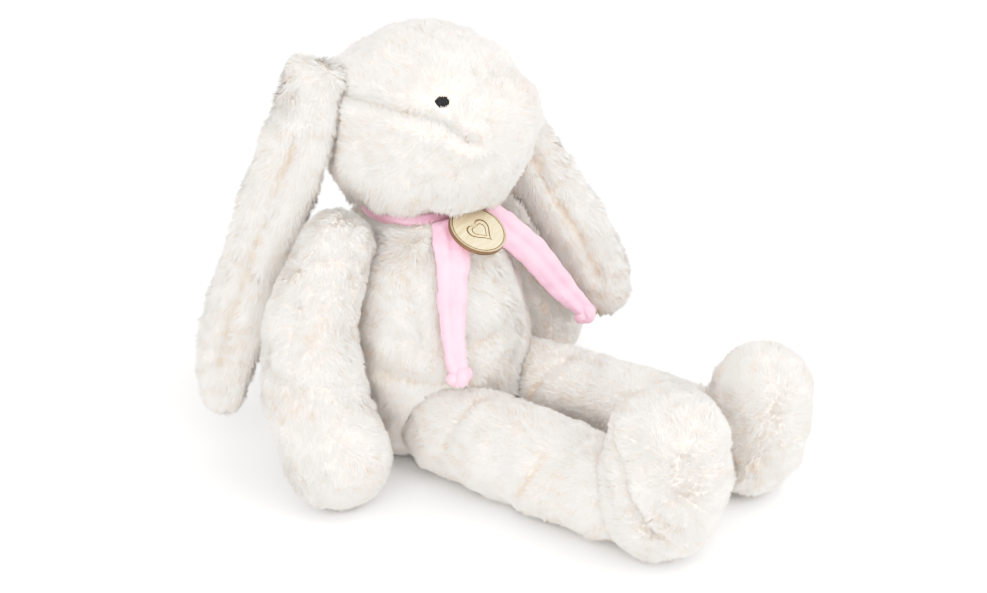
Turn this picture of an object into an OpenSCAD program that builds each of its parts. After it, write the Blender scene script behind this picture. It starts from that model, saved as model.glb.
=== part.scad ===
// Seated plush rabbit with floppy ears, a knotted fleece scarf and a wooden tag.
// Millimetres, +Z up. The rabbit faces -Y and its own right side is at -X.
// The origin is the middle of the flat seat, on the surface the rabbit sits on.

/* [Fur fabric] */
// Thickness of the plush fabric, backing and laid-down pile together
fur_t = 5; // [3:0.5:6]
// Clearance between a stuffed limb and the socket it turns in
joint_gap = 0.6; // [0.4:0.1:1]

/* [Body] */
// Half-width of the body at its widest
body_half_w = 68; // [64:1:70]
// Height of the shoulders above the seat
shoulder_z = 150; // [146:1:152]
// Distance of each shoulder pivot from the middle
shoulder_x = 70; // [68:1:74]
// Distance of each hip pivot from the middle
hip_x = 39; // [36:1:42]
// Height of the hip and ankle pivots
hip_z = 29; // [28:0.5:31]
// Radius of the thigh at the hip
thigh_r = 28; // [26:0.5:28.5]

/* [Head] */
// Half-width of the head at its widest
head_half_w = 58; // [54:1:60]
// Height of the middle of the head
head_z = 213.5; // [213:0.5:217]
// Radius of the stuffed neck inside the collar
neck_r = 17; // [14:0.5:18]

/* [Scarf and tag] */
// Radius of the rolled scarf where it goes round the neck
scarf_r = 4.2; // [3.6:0.2:4.4]
// Radius of the scarf loop, at the middle of the roll
scarf_loop_r = 31; // [30:0.5:32]
// Radius of the round wooden tag
tag_r = 18; // [15:0.5:19]
// Thickness of the wooden tag
tag_t = 3; // [2:0.5:4]
// Depth of the engraved lines
engrave_d = 0.5; // [0.3:0.1:0.8]

/* [Hidden] */

cream = [0.95, 0.92, 0.87];
fill_white = [0.98, 0.98, 0.97];
pellet_grey = [0.75, 0.76, 0.78];
pink = [0.96, 0.70, 0.82];
thread_black = [0.06, 0.05, 0.05];
blush = [0.90, 0.78, 0.76];
birch = [0.80, 0.70, 0.54];

// A slack between a lining and the stuffing inside it
fill_gap = 0.3;
// Angles from the pole at which a rounded end has its rings
cap_angles = [78, 54, 28];
fine = 64;

neck_pivot = [0, 6, 160];
hip_right = [-hip_x, -40, hip_z];
hip_left = [hip_x - 1, -40, hip_z];
ankle_right = [-47, -158, hip_z];
ankle_left = [40, -172, hip_z];
shoulder_right = [-shoulder_x, 14, shoulder_z];
shoulder_left = [shoulder_x, 22, shoulder_z];

// Each soft form is a list of sections: [x, y, z, half-width, half-depth].
torso_sections = [
    [0, 4, 0, 34, 34],
    [0, 4, 6, 50, 49],
    [0, 4, 20, body_half_w - 6, 60],
    [0, 4, 40, body_half_w - 1, 64],
    [0, 4, 60, body_half_w, 65],
    [0, 4, 84, body_half_w - 1, 63],
    [0, 5, 108, body_half_w - 8, 56],
    [0, 6, 130, body_half_w - 17, 48],
    [0, 7, 145, body_half_w - 25, 40],
    [0, 8, 152, 34, 33],
    [0, 8, 156, 24, 23]
];
head_sections = [
    [0, 38, head_z, 44, 41],
    [0, 20, head_z, head_half_w - 3, 52],
    [0, 0, head_z, head_half_w, 55],
    [0, -22, head_z - 1.5, head_half_w - 3, 51],
    [0, -42, head_z - 6, head_half_w - 12, 41]
];
arm_right_sections = [
    [-shoulder_x, 14, shoulder_z, 21, 21],
    [-96, 16, 108, 27, 27],
    [-108, 4, 64, 30, 30],
    [-107, -9, 32, 31, 31]
];
arm_left_sections = [
    [shoulder_x, 22, shoulder_z, 20, 20],
    [98, 22, 108, 27, 27],
    [110, 2, 64, 30, 30],
    [109, -14, 32, 31, 31]
];
leg_right_sections = [
    concat(hip_right, [thigh_r, thigh_r]),
    [-43, -98, hip_z + 1.5, 30, 30],
    concat(ankle_right, [28, 28])
];
leg_left_sections = [
    concat(hip_left, [thigh_r, thigh_r]),
    [40, -104, hip_z, 28, 28],
    concat(ankle_left, [27, 27])
];
foot_right_sections = [
    [-48, -192, 34, 32, 35],
    [-49, -196, 56, 33, 36],
    [-49, -199, 80, 30, 32]
];
foot_left_sections = [
    [41, -207, 33, 31, 32],
    [41, -211, 54, 32, 32],
    [41, -214, 72, 29, 28]
];
ear_right_sections = [
    [-55, 36, 242, 15, 10],
    [-67, 44, 206, 20, 11],
    [-73, 61, 163, 21, 10],
    [-78, 79, 116, 21, 10],
    [-87, 91, 73, 20, 9],
    [-94, 93, 42, 15, 8]
];
ear_left_sections = [
    [64, 19, 237, 13, 10],
    [76, 2, 204, 18, 10],
    [86, -22, 163, 21, 10],
    [95, -47, 124, 22, 10],
    [101, -62, 92, 22, 9],
    [104, -69, 73, 17, 8]
];
tail_right_sections = [
    [-20.5, -29.5, 155.8, 9.5, 2.8],
    [-27, -36.5, 147, 11, 3.5],
    [-33.5, -42.5, 134.5, 10, 4],
    [-40.5, -46.5, 117, 9, 4],
    [-47, -51.2, 98.5, 7.5, 4],
    [-52, -56.5, 86, 6, 4.5]
];
tail_left_sections = [
    [12, -36, 154, 9, 3.3],
    [21, -42, 143, 10, 3.5],
    [40, -52, 121, 10.5, 4],
    [59, -63, 92, 9.5, 4],
    [69, -70.5, 77, 6.5, 4.5]
];
knot_place = [-4, -31, 151];
end_knot_right = [-53.5, -60, 77];
end_knot_left = [72.5, -73.5, 69.5];
end_knot_r = 7.5;

tag_centre = [-13, -46.2, 153.4];
tag_tilt = [30, -7, 0];
tag_hole_r = 1.5;
tag_hole_offset = tag_r - 4.5;

// ---- Smooth forms -------------------------------------------------------

function unit(v) = v / norm(v);
function place(s) = [s[0], s[1], s[2]];

// Point between b and c on a smooth curve through a, b, c and d
function on_curve(a, b, c, d, t) =
    0.5 * (2 * b + (c - a) * t + (2 * a - 5 * b + 4 * c - d) * t * t
        + (3 * b - a - 3 * c + d) * t * t * t);

// Sections with more of them worked out between each pair
function smoothed(sections, steps) = concat(
    [for (i = [0 : len(sections) - 2], s = [0 : steps - 1])
        on_curve(
            sections[max(i - 1, 0)], sections[i], sections[i + 1],
            sections[min(i + 2, len(sections) - 1)], s / steps
        )],
    [sections[len(sections) - 1]]
);

// Direction of the form's middle line at section i
function heading(sections, i) =
    unit(place(sections[min(i + 1, len(sections) - 1)]) - place(sections[max(i - 1, 0)]));

// One ring of points; the width lies along side, as far as it is square to the heading
function ring(middle, ahead, side, half_w, half_d, angles) =
    let (across = unit(side - (side * ahead) * ahead), out = cross(ahead, across))
    [for (a = angles) middle + across * half_w * cos(a) + out * half_d * sin(a)];

// Every ring of a form, with rounded ends of the given lengths (0 leaves an end flat)
function form_rings(sections, side, inset, start_len, end_len, angles) =
    let (
        last = len(sections) - 1,
        first_dir = heading(sections, 0),
        last_dir = heading(sections, last),
        start_reach = start_len - inset,
        end_reach = end_len - inset
    )
    concat(
        start_len <= 0 ? [] : [for (a = cap_angles)
            ring(
                place(sections[0]) - first_dir * start_reach * sin(a), first_dir, side,
                (sections[0][3] - inset) * cos(a), (sections[0][4] - inset) * cos(a), angles
            )],
        [for (i = [0 : last])
            ring(
                place(sections[i]), heading(sections, i), side,
                sections[i][3] - inset, sections[i][4] - inset, angles
            )],
        end_len <= 0 ? [] : [for (k = [len(cap_angles) - 1 : -1 : 0])
            let (a = cap_angles[k])
            ring(
                place(sections[last]) + last_dir * end_reach * sin(a), last_dir, side,
                (sections[last][3] - inset) * cos(a), (sections[last][4] - inset) * cos(a), angles
            )]
    );

// Closed solid through a list of rings
module through_rings(rings) {
    n = len(rings[0]);
    count = len(rings);
    points = [for (r = rings) each r];
    skin = [for (i = [0 : count - 2], k = [0 : n - 1])
        let (a = i * n + k, b = i * n + (k + 1) % n)
        each [[a, a + n, b], [b, a + n, b + n]]];
    first = [for (k = [0 : n - 1]) k];
    last = [for (k = [n - 1 : -1 : 0]) (count - 1) * n + k];
    polyhedron(points, concat([first], skin, [last]), convexity = 6);
}

// Angles of a full ring, and of the half rings that make an ear's two panels
function full_ring(sides) = [for (k = [0 : sides - 1]) k * 360 / sides];
function half_ring(sides, from) = [for (k = [0 : sides]) from + 4 + k * 172 / sides];

// Stuffed form; inset makes it thinner all over
module soft_form(sections, side, caps, inset = 0, sides = 16, steps = 2) {
    through_rings(form_rings(
        smoothed(sections, steps), side, inset, caps[0], caps[1], full_ring(sides)
    ));
}

// Plush cover of a stuffed form, hollow inside
module cover(sections, side, caps, sides = 16, steps = 2) {
    difference() {
        soft_form(sections, side, caps, 0, sides, steps);
        soft_form(sections, side, caps, fur_t, sides, steps);
    }
}

// Stuffing that fills a cover
module filling(sections, side, caps, sides = 16, steps = 2) {
    soft_form(sections, side, caps, fur_t + fill_gap, sides, steps);
}

// Half of a flat ear: the panel on one side of its edge seam
module ear_panel(sections, side, from) {
    through_rings(form_rings(smoothed(sections, 2), side, 0, 10, 17, half_ring(8, from)));
}

// ---- Body ---------------------------------------------------------------

body_caps = [0, 0];
limb_side = [1, 0, 0];
head_caps = [20, 25];
tail_pos = [0, 74, 44];
tail_ball_r = 16;
tail_seam_y = 69.4;

// Room for a thigh over its whole swing: a ball at the hip and tunnels in front of it
module thigh_room(hip) {
    translate(hip) sphere(r = thigh_r + joint_gap, $fn = fine);
    for (a = [48, 36, 22, 6, -8])
        translate(hip) rotate([90 + a, 0, 0])
            cylinder(r = thigh_r + 2.4 + joint_gap, h = 66, $fn = fine);
}

// Plain pocket in the stuffing for the same swing
module thigh_pocket(hip) {
    translate(hip + [-thigh_r - 5, -60, -hip_z - 1])
        cube([2 * thigh_r + 10, 60 + thigh_r + 4, 2 * thigh_r + 11]);
}

// Round sockets that the neck and the arms turn in
module neck_and_arm_sockets(extra) {
    translate(neck_pivot) sphere(r = neck_r + joint_gap + extra, $fn = fine);
    for (p = [shoulder_right, shoulder_left])
        translate(p) sphere(r = 21 + joint_gap + extra, $fn = fine);
}

module torso_fur() {
    color(cream) difference() {
        soft_form(torso_sections, limb_side, body_caps, 0, 24, 1);
        translate([0, 0, fur_t]) soft_form(
            [for (s = torso_sections) [s[0], s[1], s[2] * 0.94, s[3], s[4]]],
            limb_side, body_caps, fur_t, 24, 1
        );
        neck_and_arm_sockets(0);
        for (p = [hip_right, hip_left]) thigh_room(p);
    }
}

module torso_stuffing() {
    color(fill_white) difference() {
        translate([0, 0, fur_t + fill_gap]) soft_form(
            [for (s = torso_sections) [s[0], s[1], s[2] * 0.93, s[3], s[4]]],
            limb_side, body_caps, fur_t + fill_gap, 24, 1
        );
        neck_and_arm_sockets(fill_gap);
        for (p = [hip_right, hip_left]) thigh_pocket(p);
        translate([0, 8, 20]) scale(1.02) pellet_pouch();
    }
}

// Flat round pouch of weighting pellets
module pellet_pouch() {
    rotate_extrude($fn = fine) polygon([
        [0, -11], [22, -11], [30, -8], [34, 0], [30, 8], [22, 11], [0, 11]
    ]);
}

module seat_pellet_bag() {
    color(pellet_grey) translate([0, 8, 20]) pellet_pouch();
}

// Profile of a ball of the given radius behind the flat seam where the tail is sewn on
function tail_profile(r) =
    let (from = asin((tail_seam_y - tail_pos[1]) / r))
    concat([for (k = [0 : 11]) let (a = from + (90 - from) * k / 12) r * [cos(a), sin(a)]], [[0, r]]);

module tail_fur() {
    outer = tail_profile(tail_ball_r);
    inner = tail_profile(tail_ball_r - fur_t);
    color(cream) translate(tail_pos) rotate([-90, 0, 0]) rotate_extrude($fn = fine)
        polygon(concat(outer, [for (k = [len(inner) - 1 : -1 : 0]) inner[k]]));
}

module tail_stuffing() {
    dome = tail_profile(tail_ball_r - fur_t - fill_gap);
    color(fill_white) translate(tail_pos) rotate([-90, 0, 0]) rotate_extrude($fn = fine)
        polygon(concat([[0, dome[0][1]]], dome));
}

// ---- Head ---------------------------------------------------------------

module neck_stuffing() {
    color(fill_white) translate(neck_pivot) sphere(r = neck_r, $fn = fine);
}

module neck_socket(extra) {
    translate(neck_pivot) sphere(r = neck_r + joint_gap + extra, $fn = fine);
}

module head_fur() {
    color(cream) difference() {
        soft_form(head_sections, limb_side, head_caps, 0, 22, 2);
        soft_form(head_sections, limb_side, head_caps, fur_t, 22, 2);
        neck_socket(0);
    }
}

module head_stuffing() {
    color(fill_white) difference() {
        filling(head_sections, limb_side, head_caps, 22, 2);
        neck_socket(fill_gap);
    }
}

// Low oval of satin stitches, raised a little above the fabric
module stitched_oval(place_at, turn, half_w, half_h, rise) {
    translate(place_at) rotate(turn) scale([half_w, rise, half_h]) sphere(r = 1, $fn = 24);
}

eye_x = 37.5;
eye_y = -39;
eye_z = 239.5;
eye_turn = 56;
eye_lean = -34;

module eye_right() {
    color(thread_black)
        stitched_oval([-eye_x, eye_y, eye_z], [eye_lean, 0, -eye_turn], 5, 3.6, 2.4);
}

module eye_left() {
    color(thread_black)
        stitched_oval([eye_x, eye_y, eye_z], [eye_lean, 0, eye_turn], 5, 3.6, 2.4);
}

module nose_stitching() {
    color(blush) stitched_oval([0, -66, head_z], [0, 0, 0], 6, 4, 3);
}

// ---- Ears ---------------------------------------------------------------

ear_right_side = [0.35, -0.94, 0];
ear_left_side = [0.6, -0.8, 0];

module ear_right_outer() {
    color(cream) ear_panel(ear_right_sections, ear_right_side, 180);
}

module ear_right_inner() {
    color(cream) ear_panel(ear_right_sections, ear_right_side, 0);
}

module ear_left_outer() {
    color(cream) ear_panel(ear_left_sections, ear_left_side, 0);
}

module ear_left_inner() {
    color(cream) ear_panel(ear_left_sections, ear_left_side, 180);
}

// ---- Limbs --------------------------------------------------------------

arm_caps = [21, 30];
leg_caps = [28, 27];
foot_caps = [33, 25];

module arm_right_fur() { color(cream) cover(arm_right_sections, limb_side, arm_caps); }
module arm_right_stuffing() { color(fill_white) filling(arm_right_sections, limb_side, arm_caps); }
module arm_left_fur() { color(cream) cover(arm_left_sections, limb_side, arm_caps); }
module arm_left_stuffing() { color(fill_white) filling(arm_left_sections, limb_side, arm_caps); }

module leg_right_fur() { color(cream) cover(leg_right_sections, limb_side, leg_caps); }
module leg_right_stuffing() { color(fill_white) filling(leg_right_sections, limb_side, leg_caps); }
module leg_left_fur() { color(cream) cover(leg_left_sections, limb_side, leg_caps); }
module leg_left_stuffing() { color(fill_white) filling(leg_left_sections, limb_side, leg_caps); }

// Foot with the round hollow that the lower leg turns in
module foot_fur(sections, ankle) {
    color(cream) difference() {
        cover(sections, limb_side, foot_caps);
        translate(ankle) sphere(r = thigh_r + joint_gap, $fn = fine);
    }
}

module foot_stuffing(sections, ankle) {
    color(fill_white) difference() {
        filling(sections, limb_side, foot_caps);
        translate(ankle) sphere(r = thigh_r + joint_gap + fill_gap, $fn = fine);
    }
}

module foot_right_fur() { foot_fur(foot_right_sections, ankle_right); }
module foot_right_stuffing() { foot_stuffing(foot_right_sections, ankle_right); }
module foot_left_fur() { foot_fur(foot_left_sections, ankle_left); }
module foot_left_stuffing() { foot_stuffing(foot_left_sections, ankle_left); }

// ---- Scarf and tag ------------------------------------------------------

module scarf_loop() {
    color(pink) translate([0, 8, 159]) rotate([7, 0, 0])
        rotate_extrude($fn = fine) translate([scarf_loop_r, 0]) circle(r = scarf_r, $fn = 24);
}

module scarf_knot() {
    color(pink) translate(knot_place) sphere(r = 7, $fn = fine);
}

module scarf_tail(sections, side) {
    color(pink) soft_form(sections, side, [3, 3], 0, 12, 2);
}

module end_knot(place_at) {
    color(pink) translate(place_at) sphere(r = end_knot_r, $fn = fine);
}

module scarf_tail_right() { scarf_tail(tail_right_sections, [0.8, -0.6, 0]); }
module scarf_tail_left() { scarf_tail(tail_left_sections, [0.9, -0.3, 0]); }
module scarf_end_knot_right() { end_knot(end_knot_right); }
module scarf_end_knot_left() { end_knot(end_knot_left); }

// Heart outline as one loop, point up at the tag's lower edge
function heart(size) = [for (a = [0 : 9 : 351])
    size * [
        0.98 * pow(sin(a), 3),
        (13 * cos(a) - 5 * cos(2 * a) - 2 * cos(3 * a) - cos(4 * a)) / 16
    ]];

module engraved_ring(outer_r, inner_r) {
    difference() {
        cylinder(r = outer_r, h = 2 * engrave_d, center = true, $fn = fine);
        cylinder(r = inner_r, h = 3 * engrave_d, center = true, $fn = fine);
    }
}

module engraved_heart(outer_size, inner_size) {
    linear_extrude(height = 2 * engrave_d, center = true) difference() {
        polygon(heart(outer_size));
        polygon(heart(inner_size));
    }
}

module wooden_tag() {
    color(birch) translate(tag_centre) rotate(tag_tilt) difference() {
        cylinder(r = tag_r, h = tag_t, center = true, $fn = fine);
        translate([0, tag_hole_offset, 0]) cylinder(r = tag_hole_r, h = 2 * tag_t, center = true, $fn = fine);
        translate([0, 0, tag_t / 2]) engraved_ring(tag_r - 1.2, tag_r - 1.8);
        translate([0, -1.5, tag_t / 2]) engraved_heart(9, 7.8);
        translate([0, -1.5, tag_t / 2]) engraved_heart(5.6, 4.8);
    }
}

module tag_thread() {
    color(pink) translate(tag_centre) rotate(tag_tilt) translate([0, tag_hole_offset + 2.3, 0])
        rotate([0, 90, 0]) rotate_extrude($fn = fine) translate([2.7, 0]) circle(r = 0.5, $fn = 16);
}

torso_fur();
torso_stuffing();
seat_pellet_bag();
tail_fur();
tail_stuffing();
neck_stuffing();
head_fur();
head_stuffing();
eye_right();
eye_left();
nose_stitching();
ear_right_outer();
ear_right_inner();
ear_left_outer();
ear_left_inner();
arm_right_fur();
arm_right_stuffing();
arm_left_fur();
arm_left_stuffing();
leg_right_fur();
leg_right_stuffing();
leg_left_fur();
leg_left_stuffing();
foot_right_fur();
foot_right_stuffing();
foot_left_fur();
foot_left_stuffing();
scarf_loop();
scarf_knot();
scarf_tail_right();
scarf_end_knot_right();
scarf_tail_left();
scarf_end_knot_left();
wooden_tag();
tag_thread();
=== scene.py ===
"""Looks of a seated plush rabbit with floppy ears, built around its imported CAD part.

Everything is in the part's own frame. Forms, tables and pile are worked out in millimetres, as in
part.scad, and become metres where their meshes are made. The rabbit faces -Y and its own right side
is at -X.
"""
import math

import bmesh
import bpy
import numpy as np
from mathutils import Euler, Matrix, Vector


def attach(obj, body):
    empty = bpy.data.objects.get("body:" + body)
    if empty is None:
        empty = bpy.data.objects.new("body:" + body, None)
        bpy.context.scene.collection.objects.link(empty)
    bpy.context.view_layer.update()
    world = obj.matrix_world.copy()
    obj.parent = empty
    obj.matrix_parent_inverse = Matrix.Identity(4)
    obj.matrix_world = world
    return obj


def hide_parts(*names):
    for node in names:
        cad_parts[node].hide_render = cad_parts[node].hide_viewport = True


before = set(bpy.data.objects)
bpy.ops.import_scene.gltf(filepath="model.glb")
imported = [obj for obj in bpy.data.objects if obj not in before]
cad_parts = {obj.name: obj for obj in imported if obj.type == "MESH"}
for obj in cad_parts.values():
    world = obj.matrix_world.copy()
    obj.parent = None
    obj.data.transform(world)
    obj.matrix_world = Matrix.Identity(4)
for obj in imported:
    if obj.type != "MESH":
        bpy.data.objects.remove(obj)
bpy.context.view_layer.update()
MM = 0.001


# ---- Camera: first, so that everything after it is judged from one place -------------------

CAMERA_AZIMUTH, CAMERA_ELEVATION = math.radians(-57), math.radians(26)
TO_CAMERA = Vector((math.sin(CAMERA_AZIMUTH), -math.cos(CAMERA_AZIMUTH), 0))
TO_THE_RIGHT = Vector((math.cos(CAMERA_AZIMUTH), math.sin(CAMERA_AZIMUTH), 0))


def look_from(distance, aim, focal):
    """Upright camera at the given distance from aim, in metres, with a focal length in millimetres."""
    back = TO_CAMERA * math.cos(CAMERA_ELEVATION) + Vector((0, 0, math.sin(CAMERA_ELEVATION)))
    data = bpy.data.cameras.new("camera")
    data.sensor_width = 36.0
    data.lens = focal
    data.clip_start, data.clip_end = 0.02, 20
    camera = bpy.data.objects.new("camera", data)
    bpy.context.scene.collection.objects.link(camera)
    camera.location = Vector(aim) + back * distance
    camera.rotation_euler = (-back).to_track_quat("-Z", "Y").to_euler()
    bpy.context.scene.camera = camera


look_from(0.950, (-0.012, -0.057, 0.112), 57.3)


# ---- Node materials --------------------------------------------------------------------------

class Nodes:
    """Short way to write a node tree."""

    def __init__(self, name):
        self.mat = bpy.data.materials.new(name)
        self.mat.use_nodes = True
        self.tree = self.mat.node_tree
        self.tree.nodes.clear()
        self.out = self.tree.nodes.new("ShaderNodeOutputMaterial")

    def add(self, kind, **settings):
        node = self.tree.nodes.new(kind)
        for key, value in settings.items():
            setattr(node, key, value)
        return node

    def link(self, a, b):
        self.tree.links.new(a, b)

    def math(self, operation, a, b=None, clamp=False):
        node = self.add("ShaderNodeMath", operation=operation, use_clamp=clamp)
        for i, v in enumerate((a, b)):
            if v is None:
                continue
            if isinstance(v, (int, float)):
                node.inputs[i].default_value = v
            else:
                self.link(v, node.inputs[i])
        return node.outputs[0]

    def place(self):
        return self.add("ShaderNodeTexCoord").outputs["Object"]

    def noise(self, vector, scale, detail=3, rough=0.55):
        node = self.add("ShaderNodeTexNoise")
        node.inputs["Scale"].default_value = scale
        node.inputs["Detail"].default_value = detail
        node.inputs["Roughness"].default_value = rough
        self.link(vector, node.inputs["Vector"])
        return node.outputs["Fac"]

    def stretched(self, vector, scale):
        node = self.add("ShaderNodeMapping")
        node.inputs["Scale"].default_value = scale
        self.link(vector, node.inputs["Vector"])
        return node.outputs["Vector"]

    def ramp(self, fac, stops):
        node = self.add("ShaderNodeValToRGB")
        while len(node.color_ramp.elements) < len(stops):
            node.color_ramp.elements.new(0.5)
        for element, (at, colour) in zip(node.color_ramp.elements, stops):
            element.position = at
            element.color = (*colour, 1)
        self.link(fac, node.inputs["Fac"])
        return node.outputs["Color"]

    def mix(self, fac, a, b, kind="MIX"):
        node = self.add("ShaderNodeMix", data_type="RGBA", blend_type=kind)
        for socket, v in ((node.inputs[0], fac), (node.inputs[6], a), (node.inputs[7], b)):
            if isinstance(v, tuple):
                socket.default_value = (*v, 1)
            elif isinstance(v, (int, float)):
                socket.default_value = v
            else:
                self.link(v, socket)
        return node.outputs[2]

    def bump(self, height, strength, distance):
        node = self.add("ShaderNodeBump")
        node.inputs["Strength"].default_value = strength
        node.inputs["Distance"].default_value = distance
        self.link(height, node.inputs["Height"])
        return node.outputs["Normal"]

    def finish(self, colour, rough, normal=None, sheen=0.0, sheen_tint=(1, 1, 1), specular=0.3):
        p = self.add("ShaderNodeBsdfPrincipled")
        self.link(colour, p.inputs["Base Color"])
        p.inputs["Roughness"].default_value = rough
        p.inputs["Specular IOR Level"].default_value = specular
        p.inputs["Sheen Weight"].default_value = sheen
        p.inputs["Sheen Roughness"].default_value = 0.5
        p.inputs["Sheen Tint"].default_value = (*sheen_tint, 1)
        if normal is not None:
            self.link(normal, p.inputs["Normal"])
        self.link(p.outputs[0], self.out.inputs["Surface"])
        return self.mat


def pile_material():
    """Plush fibres, near white at the tip and darker and warmer towards the root as painted shade deep in the
    pile, with a tone that varies from tuft to tuft and is lowered along creases as painted shade.
    """
    n = Nodes("plush_pile")
    uv = n.add("ShaderNodeUVMap", uv_map="OFBake")
    split = n.add("ShaderNodeSeparateXYZ")
    n.link(uv.outputs[0], split.inputs[0])
    # Painted shade: the fibres darken and warm towards the root, where the pile is deep and shaded.
    height = n.ramp(split.outputs[1], [
        (0.0, (0.98, 0.90, 0.82)), (0.35, (0.985, 0.93, 0.87)), (0.8, (0.99, 0.96, 0.915)),
    ])
    # The low, warm end of the tone is reached mostly along creases, where it is painted shade.
    tone = n.ramp(split.outputs[0], [
        (0.0, (0.90, 0.75, 0.64)), (0.25, (0.955, 0.895, 0.84)), (0.55, (1, 1, 1)),
    ])
    return n.finish(n.mix(1.0, height, tone, "MULTIPLY"), 0.85, None, 0.25, (1, 0.97, 0.94), 0.15)


def backing_material():
    """Woven backing under the pile, seen only where the pile parts. Its colour is darker and warmer than the
    pile's, as painted shade in the gaps between tufts.
    """
    n = Nodes("plush_backing")
    at = n.place()
    mottle = n.noise(at, 90)
    # Painted shade: darker and warmer than the pile, for the gaps between tufts and along creases.
    colour = n.ramp(mottle, [(0.3, (0.87, 0.75, 0.65)), (0.7, (0.93, 0.84, 0.75))])
    normal = n.bump(n.noise(at, 900, 2), 0.4, 0.0008)
    return n.finish(colour, 0.9, normal, 0.2, (1, 0.96, 0.92), 0.1)


def fleece_material():
    """Pink polyester fleece: fine felted surface, its pink a little deeper in soft clouds."""
    n = Nodes("pink_fleece")
    at = n.place()
    felt = n.noise(at, 1500, 4, 0.7)
    cloud = n.noise(at, 70, 3)
    base = n.ramp(cloud, [(0.3, (0.80, 0.385, 0.515)), (0.7, (0.88, 0.47, 0.59))])
    colour = n.mix(n.math("MULTIPLY", felt, 0.15), base, (0.99, 0.75, 0.85))
    normal = n.bump(felt, 0.5, 0.0005)
    return n.finish(colour, 0.8, normal, 0.45, (1, 0.88, 0.94), 0.15)


def thread_material(name, dark, light, rough=0.55):
    """Twisted embroidery thread."""
    n = Nodes(name)
    at = n.place()
    twist = n.noise(at, 2600, 2)
    colour = n.ramp(twist, [(0.35, dark), (0.65, light)])
    return n.finish(colour, rough, n.bump(twist, 0.6, 0.0002), 0.0, (1, 1, 1), 0.15)


def filling_material(name, low, high):
    """Loose fibre or pellets inside a cover."""
    n = Nodes(name)
    at = n.place()
    cloud = n.noise(at, 160, 5, 0.7)
    colour = n.ramp(cloud, [(0.3, low), (0.7, high)])
    return n.finish(colour, 0.95, n.bump(cloud, 0.8, 0.002), 0.3, (1, 1, 1), 0.1)


def turned(angles):
    """Matrix of OpenSCAD's rotate([x, y, z])."""
    return Euler([math.radians(a) for a in angles], "XYZ").to_matrix()


TAG_CENTRE, TAG_TILT, TAG_R, TAG_T, ENGRAVED = (-13, -46.2, 153.4), (30, -7, 0), 18, 3, 0.5


def tag_material():
    """Birch ply: pale grain on the faces, burnt brown on the laser-cut edge and in the engraved lines."""
    n = Nodes("birch_tag")
    at = n.place()
    local = n.add("ShaderNodeVectorMath", operation="SUBTRACT")
    n.link(at, local.inputs[0])
    local.inputs[1].default_value = Vector(TAG_CENTRE) * MM
    m = turned(TAG_TILT)
    axes = []
    for k in range(3):
        dot = n.add("ShaderNodeVectorMath", operation="DOT_PRODUCT")
        n.link(local.outputs[0], dot.inputs[0])
        dot.inputs[1].default_value = m.col[k]
        axes.append(dot.outputs["Value"])
    x, y, z = axes
    flat = n.add("ShaderNodeCombineXYZ")
    for k, v in enumerate(axes):
        n.link(v, flat.inputs[k])
    radius = n.math("SQRT", n.math("ADD", n.math("MULTIPLY", x, x), n.math("MULTIPLY", y, y)))
    grain = n.noise(n.stretched(flat.outputs[0], (90, 900, 300)), 1.0, 5, 0.6)
    rings = n.noise(n.stretched(flat.outputs[0], (25, 160, 60)), 1.0, 3)
    wood = n.ramp(grain, [(0.3, (0.56, 0.44, 0.28)), (0.7, (0.74, 0.63, 0.46))])
    wood = n.mix(n.math("MULTIPLY", rings, 0.35), wood, (0.52, 0.38, 0.21))
    uneven = n.math("MULTIPLY", n.math("SUBTRACT", n.noise(at, 500), 0.5), 0.0012)
    edge = n.math("MULTIPLY", n.math("SUBTRACT", n.math("ADD", radius, uneven), 0.0158), 480, True)
    side = n.math("MULTIPLY", n.math("SUBTRACT", radius, 0.01785), 9000, True)
    top = (TAG_T / 2 - 0.12) * MM
    floor_z = (TAG_T / 2 - ENGRAVED - 0.15) * MM
    sunk = n.math("MULTIPLY", n.math("LESS_THAN", z, top), n.math("GREATER_THAN", z, floor_z))
    burnt = n.mix(n.noise(at, 900), (0.085, 0.042, 0.018), (0.20, 0.11, 0.05))
    shade = n.math("MAXIMUM", n.math("MULTIPLY", edge, 0.5), n.math("MULTIPLY", sunk, 0.9))
    colour = n.mix(n.math("MAXIMUM", shade, n.math("MULTIPLY", side, 0.95)), wood, burnt)
    return n.finish(colour, 0.5, n.bump(grain, 0.25, 0.0002), 0, (1, 1, 1), 0.4)


PILE = pile_material()
BACKING = backing_material()
FLEECE = fleece_material()
EYE_THREAD = thread_material("black_thread", (0.004, 0.004, 0.004), (0.03, 0.028, 0.03), 0.4)
NOSE_THREAD = thread_material("blush_thread", (0.80, 0.63, 0.56), (0.90, 0.76, 0.69))
TAG_WOOD = tag_material()
TAG_THREAD = thread_material("pink_thread", (0.80, 0.42, 0.56), (0.93, 0.60, 0.72))
FIBRE_FILL = filling_material("fibre_fill", (0.80, 0.80, 0.79), (0.93, 0.93, 0.92))
PELLET_CLOTH = filling_material("pellet_cloth", (0.55, 0.56, 0.58), (0.72, 0.73, 0.75))


# ---- Smooth random fields and sewn lines -----------------------------------------------------

def ripple(points, size, seed, waves=14):
    """Smooth field of about unit spread, with lumps about size millimetres across."""
    rng = np.random.default_rng(seed)
    d = rng.normal(size=(waves, 3))
    d /= np.linalg.norm(d, axis=1)[:, None]
    k = d * (2 * math.pi / size) * rng.uniform(0.7, 1.4, (waves, 1))
    return np.sin(points @ k.T + rng.uniform(0, 2 * math.pi, waves)).sum(1) / math.sqrt(waves / 2)


def distance_from(points, place):
    return np.linalg.norm(points - np.array(place, float), axis=1)


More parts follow.
